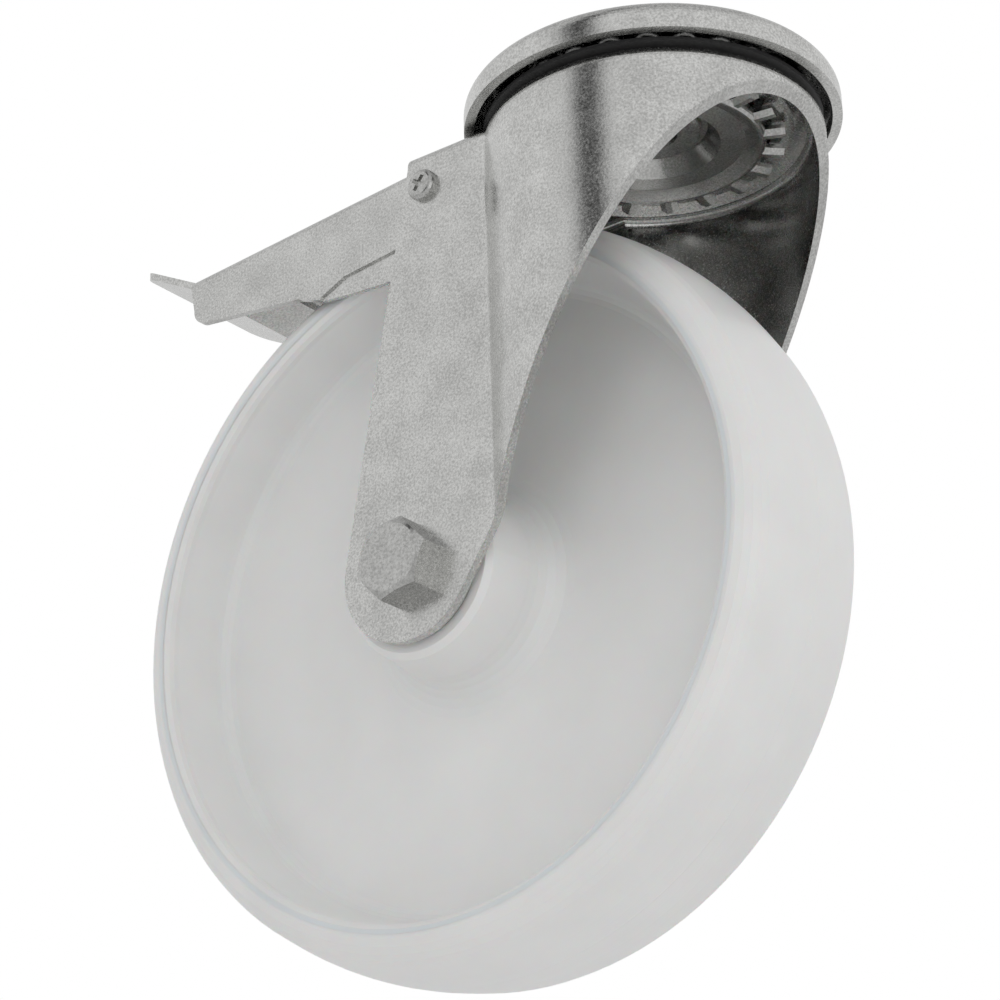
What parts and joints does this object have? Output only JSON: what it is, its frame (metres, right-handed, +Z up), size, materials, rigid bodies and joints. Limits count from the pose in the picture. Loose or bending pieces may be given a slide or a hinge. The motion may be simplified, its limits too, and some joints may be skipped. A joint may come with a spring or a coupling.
{
  "type": "braked castor",
  "caption": "Swivel castor with a bolt-hole head, pressed steel fork, solid white nylon wheel and a foot pedal that locks wheel and swivel",
  "frame": {"origin": "centre of the bolt hole on the flat top of the head", "axes": "+Z up out of the head, +X towards the open front of the fork, Y along the wheel's axle, with the bolt head on -Y"},
  "size_m": [0.2096, 0.0992, 0.235],
  "materials": {
    "zinc": "bright zinc-plated pressed steel",
    "bright_steel": "zinc-plated turned steel",
    "bearing_steel": "polished bearing steel",
    "seal": "dark moulded seal",
    "nylon": "white moulded polyamide with a soft shine",
    "cage": "moulded nylon"
  },
  "bodies": {
    "head": {"top_cup": "zinc", "kingpin": "bright_steel", "lock_disc": "bright_steel"},
    "fork": {"fork": "zinc", "dust_seal": "seal", "upper_balls": "bearing_steel", "lower_balls": "bearing_steel", "axle_sleeve": "bright_steel", "axle_bolt": "bright_steel", "axle_nut": "bright_steel", "nut_insert": "cage", "hub_washer_left": "bright_steel", "hub_washer_right": "bright_steel", "pivot_screw": "bright_steel", "pivot_sleeve": "bright_steel", "pivot_nut": "bright_steel"},
    "wheel": {"wheel": "nylon", "rollers": "bearing_steel", "roller_cage": "cage"},
    "brake": {"brake_pedal": "zinc", "brake_shoe": "zinc", "lock_pawl": "zinc"}
  },
  "joints": [
    {"name": "swivel", "type": "hinge", "parent": "head", "child": "fork", "pos_m": [0, 0, 0], "axis": [0, 0, 1], "continuous": true},
    {"name": "wheel_spin", "type": "hinge", "parent": "fork", "child": "wheel", "pos_m": [-0.059, 0, -0.135], "axis": [0, 1, 0], "continuous": true},
    {"name": "brake_press", "type": "hinge", "parent": "fork", "child": "brake", "pos_m": [-0.0512, 0, -0.0299], "axis": [0, -1, 0], "range_deg": [0, 14.5]}
  ]
}
